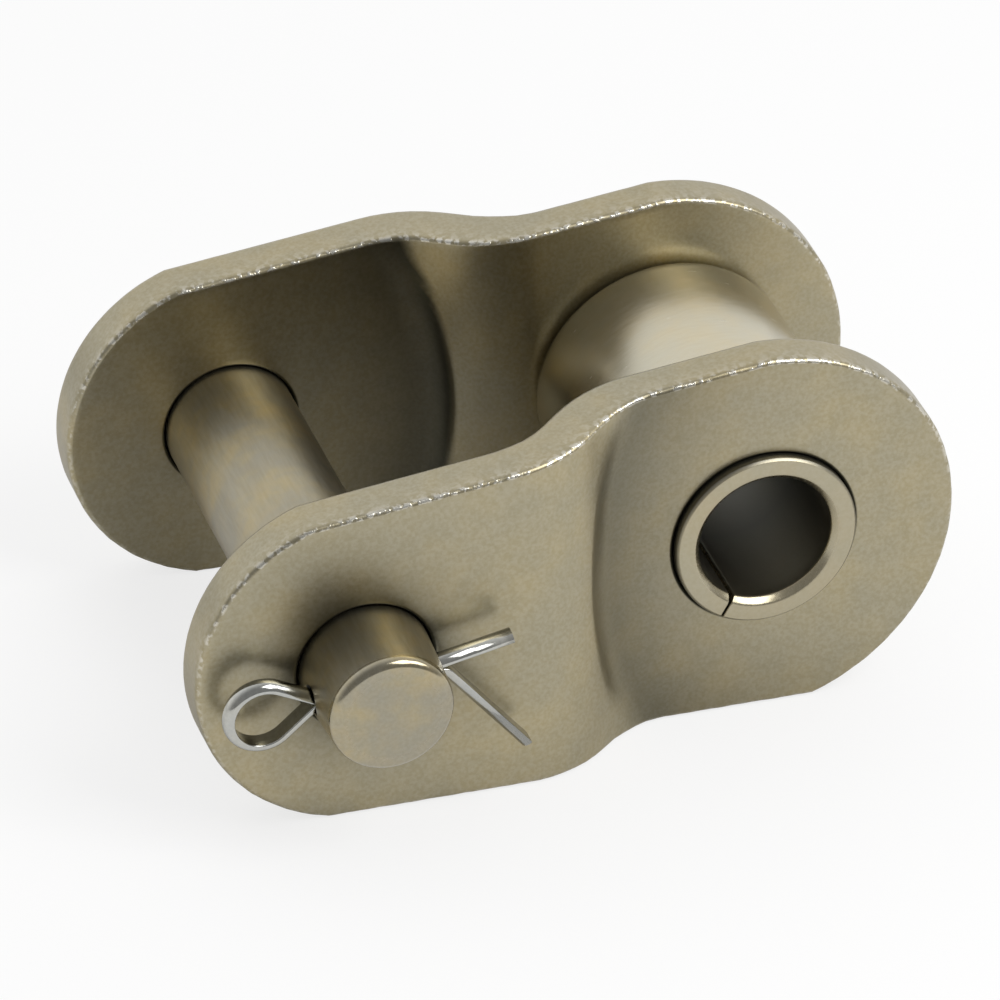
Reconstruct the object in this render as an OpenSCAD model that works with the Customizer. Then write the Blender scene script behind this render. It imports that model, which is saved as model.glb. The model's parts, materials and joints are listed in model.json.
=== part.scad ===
// Offset link of a roller chain, also called a half link.
// Two cranked side plates are joined at their narrow end by a curled bushing that carries a loose roller.
// At the wide end a headed pin passes through both plates and is kept in by a split cotter.
// X runs along the pitch line from the pin to the bushing, Y along the pin and bushing axes, Z is up.
// The origin is the centre of the bushing bore, and the cotter is on the -Y side.

/* [Chain] */
// Distance from the pin axis to the bushing axis
pitch = 25.4; // [24:0.1:30]
// Clear width between the plates at the bushing end
inside_gap = 15.9; // [14:0.1:18]
// Room on each side for the narrow end of the next link
side_play = 0.5; // [0.3:0.05:1]

/* [Offset plates] */
// Thickness of the plate stock
plate_t = 3.2; // [2.8:0.1:3.6]
// Height of the plate across the bushing hole
bushing_end_h = 23.5; // [22:0.1:26]
// Height of the plate across the pin hole
pin_end_h = 20.2; // [18:0.1:22]
// How far the plate reaches past the bushing axis
bushing_end_reach = 11.7; // [10:0.1:13]
// How far the plate reaches past the pin axis
pin_end_reach = 10; // [9:0.1:12]
// How far past the bushing axis the lower straight side ends in a corner
bushing_corner = 2.8; // [1.5:0.1:4.5]
// How far the arc that rounds off the upper corner there stands over the plate's half height
upper_round = 0.05; // [0.02:0.01:0.15]
// How far past the pin axis the straight sides end
pin_corner = 2.7; // [1.5:0.1:4]

/* [Crank] */
// Slope of the crank against the flats of the plate
crank_angle = 40; // [34:1:43]
// Bend radius on the hollow side of each bend
bend_r = 4.5; // [3.5:0.1:5]
// Distance from the middle of the pitch to the middle of the crank
crank_shift = 1.1; // [0:0.1:1.4]
// Web left on the pitch line between the inner and the outer clearance relief
relief_web = 1; // [0.6:0.1:1.6]
// Radius of the curved wall of each clearance relief
relief_r = 28; // [24:0.5:36]
// Rounding between the floor and the wall of a relief
relief_corner_r = 2.4; // [1.6:0.1:2.8]
// How far each relief skims the flat beside it
relief_skim = 0.05; // [0.03:0.01:0.1]

/* [Bushing and roller] */
// Outside diameter of the bushing
bushing_d = 11; // [10.4:0.1:12.4]
// How far the bushing stands proud of each plate
bushing_proud = 0.15; // [0.1:0.05:0.3]
// Chamfer at the mouth of the bore
bore_chamfer = 0.35; // [0.1:0.05:0.5]
// Chamfer on the outer edge of the bushing
bushing_chamfer = 0.15; // [0.1:0.05:0.3]
// Width of the butt seam of the curled bushing
seam_w = 0.14; // [0.08:0.02:0.3]
// Angle of the seam round the bushing axis
seam_angle = 238; // [0:1:359]
// Outside diameter of the roller
roller_d = 15.88; // [14.6:0.02:17]
// Rounding at the ends of the roller
roller_edge_r = 0.9; // [0.3:0.1:1.2]
// Room between the roller and each plate
roller_end_play = 0.2; // [0.1:0.05:0.4]

/* [Pin] */
// Diameter of the pin
pin_d = 7.94; // [7.4:0.02:8.4]
// How far the pin stands out of the front plate
pin_stub = 5.35; // [4.6:0.05:7]
// Diameter of the cotter end, turned down where it leaves the front plate
pin_end_d = 7.3; // [6.8:0.05:7.4]
// Rounding at the cotter end of the pin
pin_edge_r = 0.6; // [0.2:0.05:0.8]
// Diameter of the formed head behind the rear plate
head_d = 9.6; // [9:0.1:11]
// Thickness of the head
head_t = 1.5; // [1:0.1:2.5]
// Rounding of the head
head_edge_r = 0.7; // [0.3:0.1:0.9]

/* [Cotter] */
// Diameter that the two half-round legs make together
cotter_d = 1.25; // [1:0.05:1.4]
// Diameter of the cotter hole through the pin
cotter_hole_d = 1.75; // [1.7:0.05:2.1]
// Distance from the front plate to the middle of the cotter
cotter_stand_off = 1.7; // [1.4:0.1:2.6]
// How far the pin is turned about its axis, which lowers the eye and lifts the legs
cotter_turn = 4.5; // [0:0.5:20]
// Inside radius of the eye
eye_r = 1.7; // [1.4:0.05:2]
// Radius of the two bends between the eye and the legs
neck_r = 0.8; // [0.8:0.05:1.4]
// Angle at which the straight sides of the eye run in to the legs
neck_angle = 34; // [28:1:38]
// How far inside the hole the sides of the eye come together
eye_inset = 0.15; // [0.05:0.05:0.2]
// Slack between the bent legs and the pin
cotter_slack = 0.15; // [0.1:0.05:0.5]
// Slit between the two legs
leg_slit = 0.06; // [0.04:0.02:0.12]
// Length of the upper leg past its bend
upper_leg = 4.4; // [2:0.1:8]
// Angle that the upper leg is bent up
upper_leg_angle = 4; // [2:1:60]
// Length of the lower leg past its bend
lower_leg = 7.5; // [2:0.1:9]
// Angle that the lower leg is bent down
lower_leg_angle = 58; // [20:1:70]

/* [Fits] */
// Radial clearance of the next link's pin in the bushing, and of the pin in the plates
pin_fit = 0.05; // [0.02:0.01:0.08]
// Radial clearance of the bushing in its plate holes
seat_fit = 0.02; // [0.01:0.01:0.04]
// Radial clearance of the roller on the bushing
roller_fit = 0.08; // [0.04:0.01:0.1]
// Chamfer of the plate holes on the outer faces
hole_chamfer = 0.25; // [0.1:0.05:0.5]

/* [Hidden] */
$fn = 96;
bend_steps = 10;
eye_steps = 40;
section_steps = 12;

plate_colour = [0.64, 0.60, 0.49];
bushing_colour = [0.72, 0.69, 0.58];
roller_colour = [0.66, 0.63, 0.54];
pin_colour = [0.60, 0.57, 0.47];
cotter_colour = [0.78, 0.78, 0.76];

// Faces of the plates, measured from the middle plane of the link
narrow_in = inside_gap / 2;
narrow_out = narrow_in + plate_t;
wide_in = narrow_out + side_play;
wide_out = wide_in + plate_t;

// The crank: two bends of crank_angle with a straight slope between them
crank_offset = wide_in - narrow_in;
bend_mid_r = bend_r + plate_t / 2;
slope_len = (crank_offset - 2 * bend_mid_r * (1 - cos(crank_angle))) / sin(crank_angle);
crank_len = 2 * bend_mid_r * sin(crank_angle) + slope_len * cos(crank_angle);
crank_mid_x = crank_shift - pitch / 2;
wide_end_x = crank_mid_x - crank_len / 2;
narrow_start_x = crank_mid_x + crank_len / 2;
inner_relief_x = crank_mid_x - relief_web / 2;
outer_relief_x = crank_mid_x + relief_web / 2;

// Outline of the plate: half heights of the tapered sides, the end arcs through their corners,
// and the arc over the upper corner at the bushing end
taper = (bushing_end_h - pin_end_h) / 2 / pitch;
pin_tip_x = -pitch - pin_end_reach;
bushing_tip_x = bushing_end_reach;
pin_corner_x = -pitch - pin_corner;
bushing_corner_x = bushing_corner;
pin_arc_r = arc_radius(side_half_h(pin_corner_x), pin_corner_x - pin_tip_x);
bushing_arc_r = arc_radius(side_half_h(bushing_corner_x), bushing_tip_x - bushing_corner_x);
round_tip_x = bushing_tip_x + upper_round;
round_x = (round_tip_x - side_half_h(0) - upper_round) / (1 + taper);
round_r = round_tip_x - round_x;
round_start_x = round_x - taper * side_half_h(round_x);
stock_margin = 1;
stock_h = bushing_end_h + pin_end_h;

// Radii of the fits
pin_r = pin_d / 2;
bore_r = pin_r + pin_fit;
bushing_r = bushing_d / 2;
bushing_len = 2 * (narrow_out + bushing_proud);
roller_bore_r = bushing_r + roller_fit;
roller_len = inside_gap - 2 * roller_end_play;

// The cotter end of the pin, which a short cone inside the front plate's hole leads to
end_r = pin_end_d / 2;
cone_len = 0.5;

// The cotter: the eye's straight sides come together just inside the hole,
// and on the other side the legs bend just clear of the pin
cotter_y = -(wide_out + cotter_stand_off);
leg_r = cotter_d / 2;
leg_flat = leg_slit / 2;
leg_bend_x = end_r + cotter_slack;
leg_bend_r = leg_r + cotter_slack;
leg_rise = leg_bend_r + leg_flat;
neck_x = eye_inset - end_r;
neck_rise = neck_r + leg_flat;
side_x = neck_x - neck_r * sin(neck_angle);
side_z = neck_rise - neck_r * cos(neck_angle);
eye_x = side_x - (eye_r - side_z * cos(neck_angle)) / sin(neck_angle);
eye_angle = 90 - neck_angle;

// Half height of the tapered plate at x
function side_half_h(x) = pin_end_h / 2 + taper * (x + pitch);

// Radius of the arc over a chord of the given half length and rise
function arc_radius(half_chord, rise) = (half_chord * half_chord + rise * rise) / (2 * rise);

// Plate outline in side view: a tapered bar trimmed by the two end arcs and by the arc over the upper corner
module plate_outline() {
    x0 = pin_tip_x - stock_margin;
    x1 = bushing_tip_x + stock_margin;
    intersection() {
        polygon([
            [x0, -side_half_h(x0)],
            [x1, -side_half_h(x1)],
            [x1, side_half_h(x1)],
            [x0, side_half_h(x0)]
        ]);
        union() {
            translate([pin_tip_x + pin_arc_r, 0])
                circle(r = pin_arc_r);
            translate([bushing_tip_x - bushing_arc_r, 0])
                circle(r = bushing_arc_r);
            translate([pin_corner_x, -stock_h / 2])
                square([bushing_corner_x - pin_corner_x, stock_h]);
        }
        union() {
            translate([round_x, 0])
                circle(r = round_r);
            square_from(x0, -stock_h / 2, round_start_x, stock_h / 2);
            square_from(round_start_x - stock_margin, -stock_h / 2, x1, 0);
        }
    }
}

// Points along an arc, from one angle to another
function arc_points(centre, r, from_angle, to_angle) = [
    for (i = [0 : bend_steps])
        let (a = from_angle + (to_angle - from_angle) * i / bend_steps)
            centre + r * [cos(a), sin(a)]
];

// Plate profile in top view: wide flat, bend, slope, bend, narrow flat, and back along the inner face
module crank_profile() {
    x0 = pin_tip_x - stock_margin;
    x1 = bushing_tip_x + stock_margin;
    wide_bend = [wide_end_x, wide_in - bend_r];
    narrow_bend = [narrow_start_x, narrow_out + bend_r];
    polygon(concat(
        [[x0, wide_in], [x0, wide_out]],
        arc_points(wide_bend, bend_r + plate_t, 90, 90 - crank_angle),
        arc_points(narrow_bend, bend_r, 270 - crank_angle, 270),
        [[x1, narrow_out], [x1, narrow_in]],
        arc_points(narrow_bend, bend_r + plate_t, 270, 270 - crank_angle),
        arc_points(wide_bend, bend_r, 90 - crank_angle, 90)
    ));
}

// Punch that forms a clearance relief: a disc with a rounded rim, its flat face at z = 0
module relief_punch() {
    depth = crank_offset + plate_t;
    rotate_extrude($fn = 180)
        union() {
            square([relief_r - relief_corner_r, depth]);
            translate([0, relief_corner_r])
                square([relief_r, depth - relief_corner_r]);
            translate([relief_r - relief_corner_r, relief_corner_r])
                circle(r = relief_corner_r);
        }
}

// Hole along Y through a plate, with a chamfer at its outer face
module plate_hole(x, r, outer_y) {
    translate([x, 0, 0])
        rotate([-90, 0, 0]) {
            cylinder(h = wide_out + stock_margin, r = r);
            translate([0, 0, outer_y - hole_chamfer])
                cylinder(h = 2 * hole_chamfer, r1 = r, r2 = r + 2 * hole_chamfer);
        }
}

// Cranked side plate on the +Y side
module offset_plate() {
    difference() {
        intersection() {
            linear_extrude(height = stock_h, center = true)
                crank_profile();
            rotate([90, 0, 0])
                linear_extrude(height = 2 * (wide_out + stock_margin), center = true)
                    plate_outline();
        }
        translate([inner_relief_x - relief_r, wide_in + relief_skim, 0])
            rotate([90, 0, 0])
                relief_punch();
        translate([outer_relief_x + relief_r, narrow_out - relief_skim, 0])
            rotate([-90, 0, 0])
                relief_punch();
        plate_hole(-pitch, bore_r, wide_out);
        plate_hole(0, bushing_r + seat_fit, narrow_out - relief_skim);
    }
}

module rear_offset_plate() {
    color(plate_colour)
        offset_plate();
}

module front_offset_plate() {
    color(plate_colour)
        mirror([0, 1, 0])
            offset_plate();
}

// Bushing curled from strip, with its butt seam open by a hair
module bushing() {
    half = bushing_len / 2;
    color(bushing_colour)
        difference() {
            rotate([90, 0, 0])
                rotate_extrude()
                    polygon([
                        [bore_r, -half + bore_chamfer],
                        [bore_r + bore_chamfer, -half],
                        [bushing_r - bushing_chamfer, -half],
                        [bushing_r, -half + bushing_chamfer],
                        [bushing_r, half - bushing_chamfer],
                        [bushing_r - bushing_chamfer, half],
                        [bore_r + bore_chamfer, half],
                        [bore_r, half - bore_chamfer]
                    ]);
            rotate([0, -seam_angle, 0])
                translate([0, -bushing_len, -seam_w / 2])
                    cube([bushing_d, 2 * bushing_len, seam_w]);
        }
}

// Rectangle from the axis out to r, with its two outer corners rounded
module rounded_drum_section(r, len, corner_r) {
    translate([0, -len / 2])
        square([r - corner_r, len]);
    translate([0, -len / 2 + corner_r])
        square([r, len - 2 * corner_r]);
    for (side = [-1, 1])
        translate([r - corner_r, side * (len / 2 - corner_r)])
            circle(r = corner_r);
}

module roller() {
    color(roller_colour)
        rotate([90, 0, 0])
            difference() {
                rotate_extrude()
                    rounded_drum_section(roller_d / 2, roller_len, roller_edge_r);
                cylinder(h = 2 * roller_len, r = roller_bore_r, center = true);
            }
}

// Headed pin, drilled across for the cotter
module connecting_pin() {
    shank_len = 2 * wide_out + pin_stub;
    color(pin_colour)
        translate([-pitch, 0, 0])
            difference() {
                rotate([90, 0, 0])
                    rotate_extrude()
                        pin_section(shank_len);
                translate([0, cotter_y, 0])
                    rotate([0, 90 - cotter_turn, 0])
                        cylinder(h = 2 * pin_d, d = cotter_hole_d, center = true, $fn = 48);
            }
}

// Half section of the pin: round-edged head behind the rear plate, plain shank, thinner rounded end
module pin_section(shank_len) {
    head_y = -wide_out - head_t;
    end_y = shank_len - wide_out;
    polygon([
        [0, -wide_out],
        [pin_r, -wide_out],
        [pin_r, wide_out - cone_len],
        [end_r, wide_out],
        [end_r, end_y - pin_edge_r],
        [0, end_y - pin_edge_r]
    ]);
    square_from(0, end_y - 2 * pin_edge_r, end_r - pin_edge_r, end_y);
    translate([end_r - pin_edge_r, end_y - pin_edge_r])
        circle(r = pin_edge_r);
    square_from(0, head_y + head_edge_r, head_d / 2, -wide_out);
    square_from(0, head_y, head_d / 2 - head_edge_r, head_y + head_edge_r);
    translate([head_d / 2 - head_edge_r, head_y + head_edge_r])
        circle(r = head_edge_r);
}

// Rectangle between two corners
module square_from(x0, y0, x1, y1) {
    translate([x0, y0])
        square([x1 - x0, y1 - y0]);
}

// Places along an arc of the cotter's path, each as [x, z, heading]
// A turn of 90 goes round anticlockwise and -90 clockwise
function path_arc(x, z, r, from_angle, to_angle, turn, steps) = [
    for (i = [0 : steps])
        let (a = from_angle + (to_angle - from_angle) * i / steps)
            [x + r * cos(a), z + r * sin(a), a + turn]
];

// The place that lies the given length straight on from another
function path_straight(place, len) = place + [len * cos(place[2]), len * sin(place[2]), 0];

// Path of the wire's flat side, from the tip of the upper leg round the eye to the tip of the lower leg
function cotter_path() =
    let (
        upper_bend = path_arc(leg_bend_x, leg_rise, leg_bend_r, 270 + upper_leg_angle, 270, -90, bend_steps),
        upper_neck = path_arc(neck_x, neck_rise, neck_r, 270, 180 + eye_angle, -90, bend_steps),
        eye = path_arc(eye_x, 0, eye_r, eye_angle, 360 - eye_angle, 90, eye_steps),
        lower_neck = path_arc(neck_x, -neck_rise, neck_r, 180 - eye_angle, 90, -90, bend_steps),
        lower_bend = path_arc(leg_bend_x, -leg_rise, leg_bend_r, 90, 90 - lower_leg_angle, -90, bend_steps)
    )
    concat(
        [path_straight(upper_bend[0], -upper_leg)],
        upper_bend,
        upper_neck,
        eye,
        lower_neck,
        lower_bend,
        [path_straight(lower_bend[bend_steps], lower_leg)]
    );

// Half-round section of the wire at one place: flat side on the path, round side to the right of the heading
function half_round_ring(place) = [
    for (k = [0 : section_steps])
        let (
            t = 180 * k / section_steps,
            out = leg_r * sin(t)
        )
        [place[0] + out * sin(place[2]), leg_r * cos(t), place[1] - out * cos(place[2])]
];

// Split cotter of half-round wire: the eye at -X and two bent legs at +X
module cotter_pin() {
    rings = [for (place = cotter_path()) half_round_ring(place)];
    n = section_steps + 1;
    last = len(rings) - 1;
    sides = [
        for (i = [0 : last - 1], k = [0 : n - 1])
            let (next = (k + 1) % n)
            [i * n + k, i * n + next, (i + 1) * n + next, (i + 1) * n + k]
    ];
    first_cap = [for (k = [0 : n - 1]) n - 1 - k];
    last_cap = [for (k = [0 : n - 1]) last * n + k];
    color(cotter_colour)
        translate([-pitch, cotter_y, 0])
            rotate([0, -cotter_turn, 0])
                polyhedron(
                    points = [for (ring = rings) each ring],
                    faces = concat(sides, [first_cap, last_cap]),
                    convexity = 6
                );
}

front_offset_plate();
rear_offset_plate();
bushing();
roller();
connecting_pin();
cotter_pin();
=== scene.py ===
"""Looks, light and camera of a roller chain's offset link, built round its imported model."""

import json
import logging
import math
from dataclasses import dataclass
from enum import Enum
from typing import Any, Optional, Sequence, Union

import bmesh
import bpy
import numpy as np
from mathutils import Matrix, Vector, noise


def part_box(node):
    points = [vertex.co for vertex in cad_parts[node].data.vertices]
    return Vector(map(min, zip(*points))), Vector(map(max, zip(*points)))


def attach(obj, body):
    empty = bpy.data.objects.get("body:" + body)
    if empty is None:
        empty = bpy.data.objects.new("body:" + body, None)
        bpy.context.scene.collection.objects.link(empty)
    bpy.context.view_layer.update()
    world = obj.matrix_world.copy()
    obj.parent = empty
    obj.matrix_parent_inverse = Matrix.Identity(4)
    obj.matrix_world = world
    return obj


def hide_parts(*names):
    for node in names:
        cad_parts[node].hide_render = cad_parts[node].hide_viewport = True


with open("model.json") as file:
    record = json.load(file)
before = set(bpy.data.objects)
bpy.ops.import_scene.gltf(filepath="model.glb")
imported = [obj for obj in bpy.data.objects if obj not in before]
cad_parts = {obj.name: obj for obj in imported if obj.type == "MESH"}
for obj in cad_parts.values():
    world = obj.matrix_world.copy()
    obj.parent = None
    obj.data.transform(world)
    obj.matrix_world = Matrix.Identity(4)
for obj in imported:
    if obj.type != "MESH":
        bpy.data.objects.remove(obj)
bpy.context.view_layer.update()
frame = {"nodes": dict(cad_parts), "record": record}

LOG = logging.getLogger("offset_link")
MM = 0.001
Triple = tuple[float, float, float]
Colour = Triple
Range = tuple[float, float]


class Signal:
    """Output socket of a node that takes part in shader maths as a Python value."""

    def __init__(self, graph: "Graph", socket: bpy.types.NodeSocket) -> None:
        """Wrap one output socket of a graph."""
        self.graph = graph
        self.socket = socket

    def __add__(self, other: "Value") -> "Signal":
        """Sum with a signal or a number."""
        return self.graph.combine("ADD", self, other)

    def __radd__(self, other: "Value") -> "Signal":
        """Sum, with the number on the left."""
        return self.graph.combine("ADD", other, self)

    def __sub__(self, other: "Value") -> "Signal":
        """Difference from a signal or a number."""
        return self.graph.combine("SUBTRACT", self, other)

    def __rsub__(self, other: "Value") -> "Signal":
        """Difference, with the number on the left."""
        return self.graph.combine("SUBTRACT", other, self)

    def __mul__(self, other: "Value") -> "Signal":
        """Product with a signal or a number."""
        return self.graph.combine("MULTIPLY", self, other)

    def __rmul__(self, other: "Value") -> "Signal":
        """Product, with the number on the left."""
        return self.graph.combine("MULTIPLY", other, self)

    def __or__(self, other: "Value") -> "Signal":
        """The larger of two masks."""
        return self.graph.math("MAXIMUM", self, other)

    def __ror__(self, other: "Value") -> "Signal":
        """The larger of two masks, with the number on the left."""
        return self.graph.math("MAXIMUM", other, self)

    def ease(self, low: float, high: float) -> "Signal":
        """Smooth step that is 0 below low and 1 above high."""
        settings = {"interpolation_type": "SMOOTHSTEP"}
        return self.graph.add("ShaderNodeMapRange", settings, {0: self, 1: low, 2: high})


Value = Union[Signal, float, Triple]


class Graph:
    """Node tree of one material or world, filled by short calls."""

    def __init__(self, tree: bpy.types.NodeTree) -> None:
        """Start from an emptied tree."""
        self.tree = tree
        tree.nodes.clear()

    def add(
        self,
        kind: str,
        settings: Optional[dict[str, Any]] = None,
        inputs: Optional[dict[Union[str, int], Any]] = None,
        output: Union[str, int] = 0,
    ) -> Signal:
        """Add one node.

        Args:
            kind: the node's type.
            settings: its properties, set before its sockets.
            inputs: values or signals, by socket name or number.
            output: the socket to hand back, by name or number.

        Returns:
            The chosen output.
        """
        node = self.tree.nodes.new(kind)
        for name, setting in (settings or {}).items():
            setattr(node, name, setting)
        for key, value in (inputs or {}).items():
            socket = node.inputs[key]
            if isinstance(value, Signal):
                self.tree.links.new(value.socket, socket)
            elif isinstance(value, tuple) and len(value) == 3 and socket.type == "RGBA":
                socket.default_value = (*value, 1.0)
            else:
                socket.default_value = value
        return Signal(self, node.outputs[output] if node.outputs else None)

    def combine(self, operation: str, a: Value, b: Value) -> Signal:
        """Join two values by the node that fits their kind: colour, vector or number.

        Args:
            operation: the operation that joins them.
            a: the first value.
            b: the second value.

        Returns:
            The joined value.
        """
        kinds = {value.socket.type for value in (a, b) if isinstance(value, Signal)}
        if "RGBA" in kinds:
            return self.mix(1.0, a, b, operation)
        if "VECTOR" in kinds:
            return self.vector(operation, a, b)
        return self.math(operation, a, b)

    def math(self, operation: str, a: Value, b: Value) -> Signal:
        """Math node on two values."""
        return self.add("ShaderNodeMath", {"operation": operation}, {0: a, 1: b})

    def vector(self, operation: str, a: Any, b: Any) -> Signal:
        """Vector Math node on two vectors."""
        return self.add("ShaderNodeVectorMath", {"operation": operation}, {0: a, 1: b})

    def mix(self, factor: Value, a: Any, b: Any, blend: str = "MIX") -> Signal:
        """Colour Mix node, from a at factor 0 to b at factor 1."""
        settings = {"data_type": "RGBA", "blend_type": blend}
        return self.add("ShaderNodeMix", settings, {0: factor, 6: a, 7: b}, output=2)

    def mask(self, name: str) -> Signal:
        """Mask that is painted on the points of a mesh."""
        return self.add("ShaderNodeAttribute", {"attribute_name": name}, output="Fac")

    def noise(self, place: Signal, grain_mm: float, detail: float = 2.0) -> Signal:
        """Noise of a given grain size over a place in millimetres."""
        inputs = {"Vector": place, "Scale": 1 / grain_mm, "Detail": detail}
        return self.add("ShaderNodeTexNoise", None, inputs)


class Lay(Enum):
    """Direction of the fine marks that a piece's making has left, as a stretch of X, Y and Z."""

    TUMBLED = (1.0, 1.0, 1.0)
    DRAWN_ALONG_Y = (1.0, 0.12, 1.0)
    TURNED_ABOUT_Y = (0.2, 1.0, 0.2)


@dataclass(frozen=True)
class SteelFinish:
    """Steel surface with soft patches of tone, a fine grain, smoother edges with painted glints, and painted
    shade in hollows and gaps.
    """

    name: str
    tone: Colour
    warm: Colour
    cool: Colour
    roughness: float
    lay: Lay = Lay.TUMBLED
    patch_mm: float = 1.7
    grain_mm: float = 0.22
    grain_height_mm: float = 0.004
    grain_share: float = 0.10
    roughness_swing: float = 0.10
    # bright is the colour of the grain's light flecks and of the painted glints, whose strength gleam sets;
    # dark is the colour of the painted shade.
    bright: Colour = (0.95, 0.93, 0.86)
    dark: Colour = (0.020, 0.020, 0.017)
    glint_mm: float = 0.40
    speckle: float = 1.0
    gleam: float = 0.85
    polish: float = 0.15
    patch_range: Range = (0.30, 0.70)
    drift_range: Range = (0.35, 0.65)
    drift_ratio: float = 3.1
    grain_range: Range = (0.25, 0.75)
    glint_range: Range = (0.46, 0.60)
    glint_height: float = 3.0
    warm_share: float = 0.7
    cool_share: float = 0.6

    def material(self) -> bpy.types.Material:
        """Make the material.

        Returns:
            A procedural material that reads the edge mask (smoother edges and painted glints) and the shade
            mask (painted shade) of the mesh.
        """
        material = bpy.data.materials.new(self.name)
        material.use_nodes = True
        graph = Graph(material.node_tree)
        place = graph.add("ShaderNodeTexCoord", output="Object") * (1 / MM, 1 / MM, 1 / MM)
        patches = graph.noise(place, self.patch_mm, detail=4.0).ease(*self.patch_range)
        drift = graph.noise(place, self.patch_mm * self.drift_ratio).ease(*self.drift_range)
        grain = graph.noise(place * self.lay.value, self.grain_mm, detail=3.0)
        specks = graph.noise(place, self.glint_mm).ease(*self.glint_range)
        edge = graph.mask("edge")
        shade = graph.mask("shade")
        # Painted glints: the edge mask, in specks, marks where the colour is lifted as if light glinted
        # there.
        glint = edge * (specks * self.speckle + (1.0 - self.speckle))
        colour = graph.mix(patches * self.warm_share, self.tone, self.warm)
        colour = graph.mix(drift * self.cool_share, colour, self.cool)
        colour = graph.mix(grain.ease(*self.grain_range) * self.grain_share, colour, self.bright)
        # Painted highlight: the glints lift the colour towards bright by gleam.
        colour = graph.mix(glint * self.gleam, colour, self.bright)
        # Painted shade: the shade mask darkens the colour towards dark.
        colour = graph.mix(shade, colour, self.dark)
        rough = self.roughness + (grain - 0.5) * self.roughness_swing - glint * self.polish
        height = grain + glint * (self.glint_height * self.speckle)
        bump_inputs = {"Strength": 1.0, "Distance": self.grain_height_mm * MM, "Height": height}
        normal = graph.add("ShaderNodeBump", None, bump_inputs)
        shader_inputs = {"Base Color": colour, "Metallic": 1.0, "Roughness": rough, "Normal": normal}
        shader = graph.add("ShaderNodeBsdfPrincipled", None, shader_inputs)
        graph.add("ShaderNodeOutputMaterial", None, {"Surface": shader})
        return material


PLATE_STEEL = SteelFinish(
    name="plate_steel_matt",
    tone=(0.360, 0.314, 0.198),
    warm=(0.410, 0.346, 0.205),
    cool=(0.335, 0.306, 0.216),
    roughness=0.35,
    dark=(0.030, 0.033, 0.028),
)
BUSHING_STEEL = SteelFinish(
    name="bushing_steel_satin",
    tone=(0.415, 0.37, 0.255),
    warm=(0.435, 0.375, 0.25),
    cool=(0.395, 0.365, 0.27),
    roughness=0.36,
    grain_share=0.05,
    # dark: the colour of the bushing's painted shade, in the bore and the seam.
    dark=(0.145, 0.145, 0.132),
    speckle=0.0,
    gleam=0.0,
    polish=0.10,
)
ROLLER_STEEL = SteelFinish(
    name="roller_steel_satin",
    tone=(0.54, 0.500, 0.385),
    warm=(0.57, 0.500, 0.345),
    cool=(0.51, 0.490, 0.400),
    roughness=0.25,
    lay=Lay.TURNED_ABOUT_Y,
    grain_height_mm=0.002,
    grain_share=0.05,
)
PIN_STEEL = SteelFinish(
    name="pin_steel_satin",
    tone=(0.36, 0.322, 0.222),
    warm=(0.43, 0.352, 0.200),
    cool=(0.30, 0.287, 0.24),
    roughness=0.36,
    lay=Lay.DRAWN_ALONG_Y,
    patch_mm=1.0,
    grain_height_mm=0.002,
    grain_share=0.06,
    speckle=0.0,
    gleam=0.0,
    polish=0.18,
)
COTTER_WIRE = SteelFinish(
    name="cotter_wire_bright",
    tone=(0.45, 0.455, 0.43),
    warm=(0.47, 0.46, 0.41),
    cool=(0.41, 0.43, 0.43),
    roughness=0.14,
    roughness_swing=0.06,
    grain_height_mm=0.0015,
)


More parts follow.
